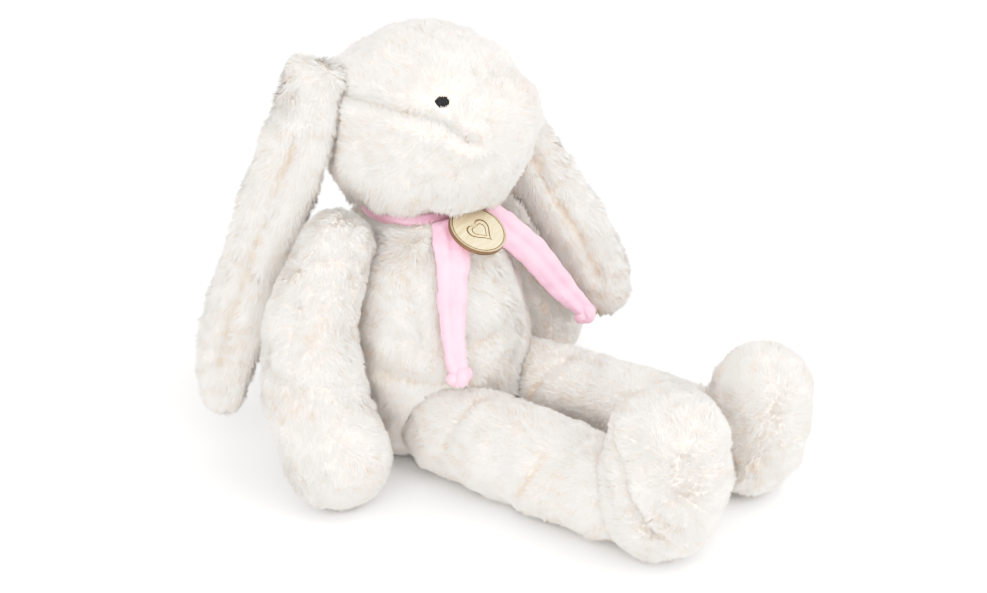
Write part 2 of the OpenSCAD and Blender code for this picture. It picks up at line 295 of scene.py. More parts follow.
def distance_to(points, line):
    """Distance of each point from a line through the given places."""
    line = np.array(line, float)
    best = np.full(len(points), 1e9)
    for a, b in zip(line[:-1], line[1:]):
        ab = b - a
        t = np.clip(((points - a) @ ab) / (ab @ ab), 0, 1)
        best = np.minimum(best, np.linalg.norm(points - a - t[:, None] * ab, axis=1))
    return best


def bulge(points, places, height, width):
    """How far points move out along their normals round some places."""
    return sum(height * np.exp(-(distance_from(points, place) / width) ** 2) for place in places)


def groove(points, line, depth, width, shoulder=0.3):
    """How far points move out along their normals near a sewn line or a crease."""
    d = distance_to(points, line)
    return -depth * np.exp(-(d / width) ** 2) + shoulder * depth * np.exp(-((d - 2.1 * width) / width) ** 2)


# ---- Stuffed forms ---------------------------------------------------------------------------

def through(sections, steps):
    """The sections with more of them between each pair, on the same curve as in part.scad."""
    s = np.array(sections, float)
    rows = []
    for i in range(len(s) - 1):
        a, b, c, d = s[max(i - 1, 0)], s[i], s[i + 1], s[min(i + 2, len(s) - 1)]
        for k in range(steps):
            t = k / steps
            rows.append(0.5 * (2 * b + (c - a) * t + (2 * a - 5 * b + 4 * c - d) * t * t
                               + (3 * b - a - 3 * c + d) * t ** 3))
    return np.array(rows + [s[-1]])


def grid_mesh(name, rows, first, last):
    """Closed mesh through rings of points, with a fan at each end and a tidy UV layer."""
    count, sides = rows.shape[:2]
    points = np.vstack([first[None], rows.reshape(-1, 3), last[None]])
    faces, uvs = [], []

    def at(r, k):
        return 1 + r * sides + k % sides

    for k in range(sides):
        u0, u1 = k / sides, (k + 1) / sides
        faces.append((0, at(0, k + 1), at(0, k)))
        uvs += [((u0 + u1) / 2, 0), (u1, 0.02), (u0, 0.02)]
    for r in range(count - 1):
        v0, v1 = 0.02 + 0.96 * r / (count - 1), 0.02 + 0.96 * (r + 1) / (count - 1)
        for k in range(sides):
            u0, u1 = k / sides, (k + 1) / sides
            faces.append((at(r, k), at(r, k + 1), at(r + 1, k + 1), at(r + 1, k)))
            uvs += [(u0, v0), (u1, v0), (u1, v1), (u0, v1)]
    tip = len(points) - 1
    for k in range(sides):
        u0, u1 = k / sides, (k + 1) / sides
        faces.append((tip, at(count - 1, k), at(count - 1, k + 1)))
        uvs += [((u0 + u1) / 2, 1), (u0, 0.98), (u1, 0.98)]
    me = bpy.data.meshes.new(name)
    me.from_pydata((points * MM).tolist(), [], faces)
    layer = me.uv_layers.new(name="OFBake")
    layer.data.foreach_set("uv", np.array(uvs, np.float32).ravel())
    me.shade_smooth()
    me.update()
    return me


class Form:
    """A stuffed form as rings of points in millimetres: rows[r, k], and a point at each end."""

    def __init__(self, sections, side, caps, sides, steps, cap_rings=9):
        s = through(sections, steps)
        middle = s[:, :3]
        ahead = np.array([
            middle[min(i + 1, len(s) - 1)] - middle[max(i - 1, 0)] for i in range(len(s))
        ])
        ahead /= np.linalg.norm(ahead, axis=1)[:, None]
        turn = np.arange(sides) * 2 * math.pi / sides
        side = np.array(side, float)

        def ring(centre, way, half_w, half_d):
            across = side - (side @ way) * way
            across /= np.linalg.norm(across)
            out = np.cross(way, across)
            return (centre + across * half_w * np.cos(turn)[:, None]
                    + out * half_d * np.sin(turn)[:, None])

        lean = [math.pi / 2 * (cap_rings - k) / (cap_rings + 1) for k in range(cap_rings)]
        rows = [ring(middle[0] - ahead[0] * caps[0] * math.sin(a), ahead[0],
                     s[0, 3] * math.cos(a), s[0, 4] * math.cos(a)) for a in lean]
        rows += [ring(middle[i], ahead[i], s[i, 3], s[i, 4]) for i in range(len(s))]
        rows += [ring(middle[-1] + ahead[-1] * caps[1] * math.sin(a), ahead[-1],
                      s[-1, 3] * math.cos(a), s[-1, 4] * math.cos(a)) for a in reversed(lean)]
        self.rows = np.array(rows)
        self.first = middle[0] - ahead[0] * caps[0]
        self.last = middle[-1] + ahead[-1] * caps[1]
        self.middle = middle

    def points(self):
        return np.vstack([self.first[None], self.rows.reshape(-1, 3), self.last[None]])

    def normals(self):
        me = grid_mesh("scratch", self.rows, self.first, self.last)
        n = np.zeros(len(me.vertices) * 3, np.float32)
        me.vertex_normals.foreach_get("vector", n)
        bpy.data.meshes.remove(me)
        return n.reshape(-1, 3).astype(float)

    def along(self):
        """Unit direction from the first end to the last, at each point."""
        t = np.gradient(self.rows, axis=0).reshape(-1, 3)
        t = np.vstack([t[:1], t, t[-1:]])
        return t / np.maximum(np.linalg.norm(t, axis=1), 1e-9)[:, None]

    def push(self, amount):
        """Moves every point out along its normal by amount millimetres."""
        moved = self.points() + self.normals() * np.asarray(amount)[:, None]
        self.first, self.last = moved[0], moved[-1]
        self.rows = moved[1:-1].reshape(self.rows.shape)

    def rest_on(self, floor):
        """Presses what is under the floor flat onto it."""
        for part in (self.rows, self.first[None], self.last[None]):
            part[..., 2] = np.maximum(part[..., 2], floor)

    def triangles(self):
        """Corner numbers of the form's triangles, in the order of points()."""
        count, sides = self.rows.shape[:2]
        r, k = np.meshgrid(np.arange(count - 1), np.arange(sides), indexing="ij")
        a = 1 + r * sides + k
        b = 1 + r * sides + (k + 1) % sides
        c, d = b + sides, a + sides
        body = np.concatenate([np.stack(way, -1).reshape(-1, 3) for way in ((a, b, c), (a, c, d))])
        k = np.arange(sides)
        tip = count * sides + 1
        low = np.stack([np.zeros_like(k), 1 + (k + 1) % sides, 1 + k], -1)
        base = 1 + (count - 1) * sides
        high = np.stack([np.full_like(k, tip), base + k, base + (k + 1) % sides], -1)
        return np.concatenate([body, low, high])


def shown(name, me, materials):
    """A mesh as an object in the scene."""
    ob = bpy.data.objects.new(name, me)
    bpy.context.scene.collection.objects.link(ob)
    for m in materials:
        me.materials.append(m)
    return ob


def carve(ob, cutters):
    """Cuts scratch meshes out of ob."""
    for c in cutters:
        mod = ob.modifiers.new("cut", "BOOLEAN")
        mod.operation = "DIFFERENCE"
        mod.solver = "EXACT"
        mod.object = c
    deps = bpy.context.evaluated_depsgraph_get()
    cut = bpy.data.meshes.new_from_object(ob.evaluated_get(deps))
    ob.modifiers.clear()
    old, ob.data = ob.data, cut
    bpy.data.meshes.remove(old)
    ob.data.shade_smooth()
    for c in cutters:
        bpy.data.objects.remove(c)


def ball(centre, radius):
    """Scratch ball to carve with."""
    me = bpy.data.meshes.new("ball")
    bm = bmesh.new()
    bmesh.ops.create_uvsphere(bm, u_segments=40, v_segments=20, radius=radius * MM)
    bmesh.ops.translate(bm, verts=bm.verts, vec=Vector(centre) * MM)
    bm.to_mesh(me)
    bm.free()
    return shown("ball", me, [])


def cone(start, tilt, r1, r2, length, detail=48):
    """Scratch cone to carve with. It leaves start towards -Y, tilted down by tilt degrees."""
    me = bpy.data.meshes.new("cone")
    bm = bmesh.new()
    bmesh.ops.create_cone(bm, cap_ends=True, segments=detail, depth=length * MM,
                          radius1=r1 * MM, radius2=r2 * MM)
    bmesh.ops.translate(bm, verts=bm.verts, vec=(0, 0, length / 2 * MM))
    bmesh.ops.rotate(bm, verts=bm.verts, matrix=turned((90 + tilt, 0, 0)))
    bmesh.ops.translate(bm, verts=bm.verts, vec=Vector(start) * MM)
    bm.to_mesh(me)
    bm.free()
    return shown("cone", me, [])


def inside_ball(points, centre, radius):
    return distance_from(points, centre) < radius


def inside_thigh(points, hip, gap):
    """True inside the room a thigh sweeps: a ball at the hip and cones along the thigh."""
    hit = inside_ball(points, hip, THIGH_R + gap)
    v = points - np.array(hip, float)
    for tilt in THIGH_TILTS:
        a = math.radians(tilt)
        way = np.array([0, -math.cos(a), -math.sin(a)])
        t = v @ way
        off = np.linalg.norm(v - t[:, None] * way, axis=1)
        hit |= (t > 0) & (t < SWEPT) & (off < THIGH_R + gap + 4 * t / SWEPT)
    return hit


# ---- Pile ------------------------------------------------------------------------------------

MOST = 49000  # tufts in one object
DENSITY = 3.1  # tufts on a square millimetre
TUFT_R = 0.34  # at the root
ROOTED = 0.7  # how deep a tuft stands in its backing
CORNERS = (0, 2.094, 4.189)  # angles of the three corners of a tuft's root
LOWEST = 0.35  # nothing hangs lower, so that the pile rests on the floor
PARTED = 2.6  # how far from a crease the pile parts
SOFT = 0.8  # how far a tuft is shaded like the cloth it stands on
CLUMP = 5.0  # tufts within such a cell lean together
GRID = np.array(turned((31, 17, 43)))  # clumps lie on a turned grid, so they never line up with a form


def jitter(cells, seed):
    """Repeatable random offset in [0, 1) for each whole-numbered cell."""
    h = (cells[:, 0] * 73856093) ^ (cells[:, 1] * 19349663) ^ (cells[:, 2] * 83492791) ^ (seed * 2654435761)
    out = []
    for k in range(3):
        h = (h * 6364136223846793005 + 1442695040888963407 + k) & 0x7FFFFFFFFFFFFFFF
        out.append(((h >> 20) & 0xFFFFF) / 0x100000)
    return np.stack(out, -1)


def scattered(form, comb, rng):
    """Random places spread evenly over a form, with the normal and the comb's way at each."""
    p, tri = form.points(), form.triangles()
    a, b, c = (p[tri[:, k]] for k in range(3))
    area = np.linalg.norm(np.cross(b - a, c - a), axis=1) / 2
    count = int(area.sum() * DENSITY * (1))
    pick = rng.choice(len(tri), count, p=area / area.sum())
    w = rng.random((count, 2))
    flip = w.sum(1) > 1
    w[flip] = 1 - w[flip]
    w = np.stack([1 - w.sum(1), w[:, 0], w[:, 1]], -1)

    def at_places(values):
        return sum(values[tri[pick, k]] * w[:, k, None] for k in range(3))

    return at_places(p), at_places(form.normals()), at_places(comb)


def gathered(root, normal, seed):
    """How far each tip moves towards the middle of its clump, along the cloth."""
    warp = np.stack([ripple(root, 17, seed + k) for k in (7, 8, 9)], -1)
    bent = root @ GRID + 1.8 * warp
    cells = np.floor(bent / CLUMP).astype(np.int64)
    pull = ((cells + 0.2 + 0.6 * jitter(cells, seed)) * CLUMP - bent) @ GRID.T
    pull -= (pull * normal).sum(1)[:, None] * normal
    return pull * 0.3


def pile(name, form, comb, seed, length=4.2, lean=(0.8, 0.12), keep=None,
         size_at=None, stand_at=None, creases=()):
    """Tapered tufts over a form, each a closed spike. comb gives the way they lie at each point.

    lean is how far they lie over, in radians, and how much that varies. Along a crease the pile
    parts: it is shorter there, and its tone is lowered as painted shade in the crease. Where the
    comb has no way to go along the cloth, it holds less, so the tufts stand up.
    """
    rng = np.random.default_rng(seed)
    root, normal, lay = scattered(form, comb, rng)
    ok = root[:, 2] > 1.0
    if keep is not None:
        ok &= keep(root)
    root, normal, lay = root[ok], normal[ok], lay[ok]
    count = len(root)
    normal /= np.linalg.norm(normal, axis=1)[:, None]
    lay -= (lay * normal).sum(1)[:, None] * normal
    hold = np.linalg.norm(lay, axis=1)
    lay /= np.maximum(hold, 1e-6)[:, None]
    swirl = 0.3 * ripple(root, 38, seed + 1) + 0.25 * ripple(root, 12, seed + 2) + rng.normal(0, 0.16, count)
    sideways = np.cross(normal, lay)
    lay = lay * np.cos(swirl)[:, None] + sideways * np.sin(swirl)[:, None]
    tilt = lean[0] + lean[1] * 0.6 * ripple(root, 15, seed + 3) + rng.normal(0, 0.1, count)
    tilt = np.clip(tilt, 0.1, 1.2) * np.clip(hold / 0.5, 0.45, 1)
    if stand_at is not None:
        tilt *= stand_at(root)
    size = length * rng.uniform(0.72, 1.18, count) * (1 + 0.12 * ripple(root, 13, seed + 4))
    size *= 0.8 + 0.2 * np.clip(hold / 0.6, 0, 1)
    parting_and_shade = np.zeros(count)
    for line in creases:
        parting_and_shade = np.maximum(parting_and_shade, np.exp(-(distance_to(root, line) / PARTED) ** 2))
    size *= 1 - 0.5 * parting_and_shade
    if size_at is not None:
        size *= size_at(root)
    axis = normal * np.cos(tilt)[:, None] + lay * np.sin(tilt)[:, None]
    tip = root + axis * size[:, None] + gathered(root, normal, seed)
    tip[:, 2] = np.maximum(tip[:, 2], LOWEST)
    base = root - normal * ROOTED
    along = tip - base
    along /= np.linalg.norm(along, axis=1)[:, None]
    across = np.cross(along, normal + rng.normal(0, 0.5, (count, 3)))
    across /= np.maximum(np.linalg.norm(across, axis=1), 1e-6)[:, None]
    other = np.cross(along, across)
    thick = TUFT_R * rng.uniform(0.7, 1.25, count)[:, None]
    ring = [base + (across * math.cos(g) + other * math.sin(g)) * thick for g in CORNERS]
    corners = np.stack([*ring, tip], 1)
    corners[..., 2] = np.maximum(corners[..., 2], LOWEST)
    # Tone varies at random from tuft to tuft, and is lowered along creases as painted shade.
    tone = np.clip(0.54 + 0.11 * ripple(root, 9, seed + 5) + 0.07 * ripple(root, 40, seed + 6)
                   + rng.normal(0, 0.19, count) - 0.75 * parting_and_shade, 0.02, 0.98)
    objects = -(-count // MOST)
    parts = [np.arange(i, count, objects) for i in range(objects)]
    return [tufts(f"{name}_{i + 1}", corners[k], normal[k], tone[k]) for i, k in enumerate(parts)]


def tufts(name, corners, normal, tone):
    """One object of closed spikes, shaded with the soft normals of the cloth under them.

    The first UV coordinate holds a tuft's tone and the second its height, for pile_material().
    """
    count = len(corners)
    first = (np.arange(count) * 4)[:, None]
    sides = ((0, 1, 3), (1, 2, 3), (2, 0, 3), (0, 2, 1))
    faces = np.stack([first + np.array(f) for f in sides], 1).reshape(-1, 3)
    me = bpy.data.meshes.new(name)
    me.vertices.add(count * 4)
    me.vertices.foreach_set("co", (corners * MM).astype(np.float32).ravel())
    me.loops.add(faces.size)
    me.loops.foreach_set("vertex_index", faces.astype(np.int32).ravel())
    me.polygons.add(len(faces))
    me.polygons.foreach_set("loop_start", np.arange(0, faces.size, 3, dtype=np.int32))
    u = np.repeat(tone, 4) + np.tile([-0.004, 0.004, 0.0, 0.0], count)
    v = np.tile([0.02, 0.02, 0.02, 0.98], count)
    uv = np.stack([u, v], -1)[faces.ravel()]
    me.uv_layers.new(name="OFBake").data.foreach_set("uv", uv.astype(np.float32).ravel())
    me.update(calc_edges=True)
    me.shade_smooth()
    own = corners - corners.mean(1)[:, None]
    own /= np.linalg.norm(own, axis=2)[..., None]
    soft = own * (1 - SOFT) + normal[:, None] * SOFT
    soft /= np.linalg.norm(soft, axis=2)[..., None]
    me.normals_split_custom_set_from_vertices(soft.reshape(-1, 3).tolist())
    return shown(name, me, [PILE])


def dressed(name, form, body, nodes, comb, seed, cutters=(), keep=None, fill=0.7, **looks):
    """A stuffed fur piece: its backing and the pile on it."""
    skin = shown(name, grid_mesh(name, form.rows, form.first, form.last), [BACKING])
    if cutters:
        carve(skin, cutters)
    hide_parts(*nodes)
    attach(skin, body)
    for fur in pile(name + "_pile", form, comb, seed, keep=keep, **looks):
        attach(fur, body)


def lumps(form, seed, amount):
    """Uneven filling: how far it pushes each point of the form out, or lets it sink."""
    p = form.points()
    return amount * (0.9 * ripple(p, 46, seed) + 0.45 * ripple(p, 19, seed + 50))


# ---- Numbers of the part, in millimetres -----------------------------------------------------

INSET = 1.6
THIGH_R = 28
THIGH_TILTS = (50, 34, 17, 0, -10)  # degrees down from level, over the swing of the hip
SWEPT = 66  # how far from the hip a thigh reaches inside the body
NECK = (0, 6, 160)
HIP_R, HIP_L = (-39, -40, 29), (38, -40, 29)
ANKLE_R, ANKLE_L = (-47, -158, 29), (40, -172, 29)
SHOULDER_R, SHOULDER_L = (-70, 14, 150), (70, 22, 150)
SIDE = (1, 0, 0)
TORSO = [
    (0, 4, 0, 34, 34), (0, 4, 6, 50, 49), (0, 4, 20, 62, 60), (0, 4, 40, 67, 64), (0, 4, 60, 68, 65),
    (0, 4, 84, 67, 63), (0, 5, 108, 60, 56), (0, 6, 130, 51, 48), (0, 7, 145, 43, 40), (0, 8, 152, 34, 33),
    (0, 8, 156, 24, 23),
]
HEAD = [
    (0, 38, 213.5, 44, 41), (0, 20, 213.5, 55, 52), (0, 0, 213.5, 58, 55), (0, -22, 212, 55, 51),
    (0, -42, 207.5, 46, 41),
]
ARM_R = [(-70, 14, 150, 21, 21), (-96, 16, 108, 27, 27), (-108, 4, 64, 30, 30), (-107, -9, 32, 31, 31)]
ARM_L = [(70, 22, 150, 20, 20), (98, 22, 108, 27, 27), (110, 2, 64, 30, 30), (109, -14, 32, 31, 31)]
LEG_R = [(-39, -40, 29, 28, 28), (-43, -98, 30.5, 30, 30), (-47, -158, 29, 28, 28)]
LEG_L = [(38, -40, 29, 28, 28), (40, -104, 29, 28, 28), (40, -172, 29, 27, 27)]
FOOT_R = [(-48, -192, 34, 32, 35), (-49, -196, 56, 33, 36), (-49, -199, 80, 30, 32)]
FOOT_L = [(41, -207, 33, 31, 32), (41, -211, 54, 32, 32), (41, -214, 72, 29, 28)]
EAR_R = [
    (-53, 39, 245, 18, 11), (-67, 44, 206, 20, 11), (-73, 61, 163, 21, 10), (-78, 79, 116, 21, 10),
    (-87, 91, 73, 20, 9), (-94, 93, 42, 15, 8),
]
EAR_L = [
    (64, 19, 237, 13, 10), (76, 2, 204, 18, 10), (86, -22, 163, 21, 10), (95, -47, 124, 22, 10),
    (101, -62, 92, 22, 9), (104, -69, 73, 17, 8),
]
TAIL_R = [
    (-20.5, -29.5, 155.8, 9.5, 2.8), (-27, -36.5, 147, 11, 3.5), (-33.5, -42.5, 134.5, 10, 4),
    (-40.5, -46.5, 117, 9, 4), (-47, -51.2, 98.5, 7.5, 4), (-52, -56.5, 86, 6, 4.5),
    (-53.2, -59, 80, 5.5, 5),
]
TAIL_L = [
    (12, -36, 154, 9, 3.3), (21, -42, 143, 10, 3.5), (40, -52, 121, 10.5, 4), (59, -63, 92, 9.5, 4),
    (69, -70.5, 77, 6.5, 4.5), (71, -72, 73, 5.5, 5),
]
END_KNOT_R, END_KNOT_L, KNOT = (-53.5, -60, 77), (72.5, -73.5, 69.5), (-4, -31, 151)
EYE, EYE_TURN, EYE_LEAN = (37.5, -39, 239.5), 56, -34
NOSE = (0, -66.5, 213.5)


def both_sides(x, y, z):
    """A place on the rabbit's right side and the same place on its left side."""
    return (-x, y, z), (x, y, z)


# ---- Body ------------------------------------------------------------------------------------

FOLDS = [
    ([(-62, -20, 96), (-50, -38, 88), (-30, -50, 84), (-8, -58, 86)], 2.6, 5),
    ([(-64, -14, 70), (-52, -38, 64), (-36, -52, 66)], 2.2, 5),
    ([(-46, -16, 128), (-52, -26, 108), (-55, -34, 88)], 2.2, 5),
]
SEAMS = [
    ([(0, -62, 22), (0, -62, 60), (0, -58, 90), (0, -50, 118), (0, -38, 148)], 1.2, 3),
    ([(0, 70, 10), (0, 69, 60), (0, 66, 84), (0, 54, 130)], 1.4, 3),
]
TORSO_TOP = 155  # no pile above it, where the neck comes out
SCARF_FOOT = 150  # the scarf covers the body from here up
SOCKET_R = 22  # hollow for an arm


def combed(form, way):
    """A comb that goes one way all over a form."""
    return np.tile(np.array(way, float), (len(form.points()), 1))


def torso_keeps(q):
    hidden = inside_thigh(q, HIP_R, -1) | inside_thigh(q, HIP_L, -1)
    for centre in (SHOULDER_R, SHOULDER_L):
        hidden |= inside_ball(q, centre, SOCKET_R)
    return ~hidden & (q[:, 2] < TORSO_TOP)


def under_scarf(q):
    """From 0 on the chest to 1 at the top of the body, which the scarf covers."""
    return np.clip((q[:, 2] - SCARF_FOOT) / 2, 0, 1)


def chest_length(q):
    """Longer where it stands up round the scarf, but not under the scarf and its ends."""
    clear = np.minimum(distance_to(q, [c[:3] for c in TAIL_R]), distance_to(q, [c[:3] for c in TAIL_L]))
    longer = 1 + 0.8 * np.clip((q[:, 2] - 130) / 14, 0, 1) * np.clip((clear - 11) / 6, 0, 1)
    return longer * (1 - 0.4 * under_scarf(q))


def chest_stand(q):
    """Lies flat on the belly, stands up below the scarf and lies flat again under it."""
    return 1 - 0.55 * np.clip((q[:, 2] - 136) / 10, 0, 1) + 0.55 * under_scarf(q)


def body():
    form = Form(TORSO, SIDE, (0, 0), 150, 8)
    p = form.points()
    form.push(-INSET + lumps(form, 11, 0.8) + sum(groove(p, *line) for line in FOLDS + SEAMS))
    form.rest_on(0.2)
    cuts = [ball(NECK, 19.6), ball(SHOULDER_R, SOCKET_R - 0.2), ball(SHOULDER_L, SOCKET_R - 0.2)]
    for hip in (HIP_R, HIP_L):
        cuts.append(ball(hip, THIGH_R - 0.6))
        cuts += [cone(hip, tilt, THIGH_R - 0.8, THIGH_R + 3.4, 70) for tilt in THIGH_TILTS]
    dressed("body", form, "torso", ["torso_fur"], combed(form, (0, 0, -1)), 21, cutters=cuts,
            keep=torso_keeps, creases=[line[0] for line in FOLDS], size_at=chest_length,
            stand_at=chest_stand, length=4.8)


def bunny_tail():
    """Small round tail, hollowed where it sits on the back of the body."""
    form = Form([(0, 66, 44, 13, 13), (0, 74, 44, 16, 16), (0, 82, 44, 13, 13)], SIDE, (7, 8), 40, 5, 5)
    form.push(-INSET + lumps(form, 12, 0.3))
    comb = form.along() * 0.4 + combed(form, (0, 0.3, -0.6)) * 0.6
    dressed("tail_ball", form, "torso", ["tail_fur"], comb, 22,
            cutters=[cone((0, 4, 0), -90, 65.4, 65.4, 100, 96)], keep=lambda q: q[:, 1] > 69,
            length=6.5, lean=(0.75, 0.3))


body()
bunny_tail()


# ---- Head ------------------------------------------------------------------------------------

CHEEK = [(50, 26, 238), (53, 8, 236), (52, -12, 235), (46, -33, 232), (41, -45, 227), (36, -57, 219)]
MOUTH = [(0, -66, 210), (0, -64, 202), (0, -60, 192)]
CROWN = [(0, 50, 240), (0, 20, 264), (0, -10, 266), (0, -36, 250)]


def head_keeps(q):
    """No pile in the neck's socket, nor under the stitches of the eyes and the nose."""
    clear = ~inside_ball(q, NECK, 17)
    for s, eye in zip((-1, 1), both_sides(*EYE)):
        v = (q - np.array(eye)) @ np.array(turned((EYE_LEAN, 0, s * EYE_TURN)))
        clear &= (v[:, 0] / 4.6) ** 2 + (v[:, 2] / 3.2) ** 2 > 1
    nose = q - np.array([0, -66, 213.5])
    return clear & ((nose[:, 0] / 4.5) ** 2 + (nose[:, 2] / 2.6) ** 2 + (nose[:, 1] / 9) ** 2 > 1)


def head_length(q):
    """Short round the eyes, long under the jaw, where it hangs over the scarf."""
    near = np.min([distance_from(q, eye) for eye in both_sides(*EYE)], axis=0)
    jaw = np.clip((184 - q[:, 2]) / 14, 0, 1) * np.clip((distance_from(q, TAG_CENTRE) - TAG_R) / 12, 0, 1)
    return np.clip(0.45 + 0.55 * (near - 4) / 9, 0.45, 1) * (1 + 1.2 * jaw)


def head_comb(q):
    """Back over the face and the crown, and straight down under the jaw."""
    low = np.clip((192 - q[:, 2]) / 18, 0, 1)[:, None]
    return np.array([0.6, 0.8, -0.1]) * (1 - low) + np.array([0, 0.1, -1]) * low


def head():
    form = Form(HEAD, SIDE, (20, 25), 130, 10, 14)
    p = form.points()
    eye_dips = bulge(p, both_sides(*EYE), 2.2, 7.5)
    cheeks = groove(p, CHEEK, 4.2, 4, 0.5) + groove(p * (-1, 1, 1), CHEEK, 4.2, 4, 0.5)
    jowls = 4 * np.exp(-((np.hypot(p[:, 0], p[:, 1] + 4) - 40) / 9) ** 2) * (p[:, 2] < 196)
    jowls += bulge(p, both_sides(37, 32, 185), 8, 21)
    brows = bulge(p, both_sides(25, -42, 248), 2.2, 9)
    ear_roots = bulge(p, both_sides(42, 35, 248), 8, 15)
    muzzle = groove(p, MOUTH, 1.6, 3.2) - bulge(p, [(0, -67, 214)], 1.8, 7)
    crown = groove(p, CROWN, 0.8, 3)
    form.push(-INSET + lumps(form, 13, 0.7) - eye_dips + cheeks + muzzle + crown + ear_roots + jowls + brows)
    dressed("head", form, "head", ["head_fur"], head_comb(form.points()), 23,
            cutters=[ball(NECK, 17.4)], keep=head_keeps, size_at=head_length,
            creases=[CHEEK, [(-x, y, z) for x, y, z in CHEEK]])


head()


# ---- Ears ------------------------------------------------------------------------------------

def ear(name, sections, side, body, nodes, seed, fold):
    """Long flat ear, folded lengthwise down its middle on both faces."""
    form = Form(sections, side, (10, 17), 84, 14, 8)
    p = form.points()
    middle = form.middle
    sway = np.zeros(len(p))
    folds = []
    for face in (1, -1):
        out = np.cross(middle[-1] - middle[0], side)
        out = face * out / np.linalg.norm(out) * 9
        line = middle[12:-8:6] + out
        sway = sway + groove(p, line, fold, 4.2, 0.4)
        folds.append(line)
    form.push(-INSET + lumps(form, seed, 0.55) + sway)
    dressed(name, form, body, nodes, form.along(), seed + 1, length=5.4, lean=(0.85, 0.2), fill=0.3,
            creases=folds)


EAR_SIDE_R, EAR_SIDE_L = (0.35, -0.94, 0), (0.6, -0.8, 0)
ear("ear_right", EAR_R, EAR_SIDE_R, "ear_right", ["ear_right_outer", "ear_right_inner"], 31, 2.3)
ear("ear_left", EAR_L, EAR_SIDE_L, "ear_left", ["ear_left_outer", "ear_left_inner"], 41, 1.2)


# ---- Limbs -----------------------------------------------------------------------------------

def limb(name, sections, caps, body, node, seed, lines=(), cutters=(), keep=None, comb=None):
    """Stuffed limb that rests on the floor, combed along it unless comb gives another way.

    lines are its creases, each with what groove() needs. The pile is short where it is sat on.
    """
    form = Form(sections, SIDE, caps, 76, 16, 10)
    p = form.points()
    form.push(-INSET + lumps(form, seed, 0.75) + sum(groove(p, *line) for line in lines))
    form.rest_on(0.3)
    dressed(name, form, body, [node], form.along() if comb is None else combed(form, comb), seed + 1,
            cutters=cutters, keep=keep, creases=[line[0] for line in lines],
            size_at=lambda q: np.clip((q[:, 2] + 4) / 10, 0.45, 1))


LEG_COMB, FOOT_COMB = (0.35, 0.6, -0.7), (0.6, 0.78, 0)
limb("arm_right", ARM_R, (21, 30), "arm_right", "arm_right_fur", 51,
     [([(-62, -6, 150), (-80, -12, 120), (-92, -24, 64), (-90, -30, 30)], 1.2, 3)])
limb("arm_left", ARM_L, (21, 30), "arm_left", "arm_left_fur", 61,
     [([(62, 2, 150), (82, -6, 120), (94, -26, 64), (92, -34, 30)], 1.2, 3)])
limb("leg_right", LEG_R, (28, 27), "leg_right", "leg_right_fur", 71,
     [([(-66, -60, 34), (-56, -66, 52), (-40, -70, 58)], 1.8, 4),
      ([(-70, -112, 20), (-73, -120, 34), (-66, -128, 50)], 1.5, 4)], comb=LEG_COMB)
limb("leg_left", LEG_L, (28, 27), "leg_left", "leg_left_fur", 81,
     [([(12, -70, 34), (20, -78, 52), (40, -84, 57)], 1.8, 4)], comb=LEG_COMB)


def foot(name, sections, ankle, body, node, seed, seam):
    """Foot with a round hollow for the ankle."""
    limb(name, sections, (33, 25), body, node, seed, seam, comb=FOOT_COMB,
         cutters=[ball(ankle, THIGH_R - 0.6)], keep=lambda q: ~inside_ball(q, ankle, THIGH_R - 2))


foot("foot_right", FOOT_R, ANKLE_R, "foot_right", "foot_right_fur", 91,
     [([(-62, -173, 90), (-70, -175, 78), (-77, -183, 70), (-81, -189, 58), (-81, -198, 44), (-77, -206, 30)],
       3.6, 3.6, 0.5),
      ([(-78, -166, 60), (-76, -166, 40), (-70, -170, 20)], 2.0, 4.5, 0.4)])
foot("foot_left", FOOT_L, ANKLE_L, "foot_left", "foot_left_fur", 101,
     [([(18, -186, 84), (10, -190, 66), (9, -198, 48), (11, -212, 30)], 2.2, 4, 0.5)])


# ---- Embroidery ------------------------------------------------------------------------------

def tube(path, radii, sides):
    """Rings of a closed tube along a path, in millimetres: rows, first and last point."""
    path = np.array(path, float)
    ahead = np.gradient(path, axis=0)
    ahead /= np.linalg.norm(ahead, axis=1)[:, None]
    up = np.array([0.31, 0.17, 0.93])
    rows = []
    turn = np.arange(sides) * 2 * math.pi / sides
    across = np.cross(ahead[0], up)
    for c, d, r in zip(path, ahead, radii):
        across = across - (across @ d) * d
        across /= np.linalg.norm(across)
        out = np.cross(d, across)
        rows.append(c + r * (across * np.cos(turn)[:, None] + out * np.sin(turn)[:, None]))
    return np.array(rows), path[0] - ahead[0] * radii[0] * 0.4, path[-1] + ahead[-1] * radii[-1] * 0.4


def joined(name, meshes, material):
    """One object of several closed meshes."""
    bm = bmesh.new()
    for me in meshes:
        bm.from_mesh(me)
        bpy.data.meshes.remove(me)
    out = bpy.data.meshes.new(name)
    bm.to_mesh(out)
    bm.free()
    out.shade_smooth()
    return shown(name, out, [material])


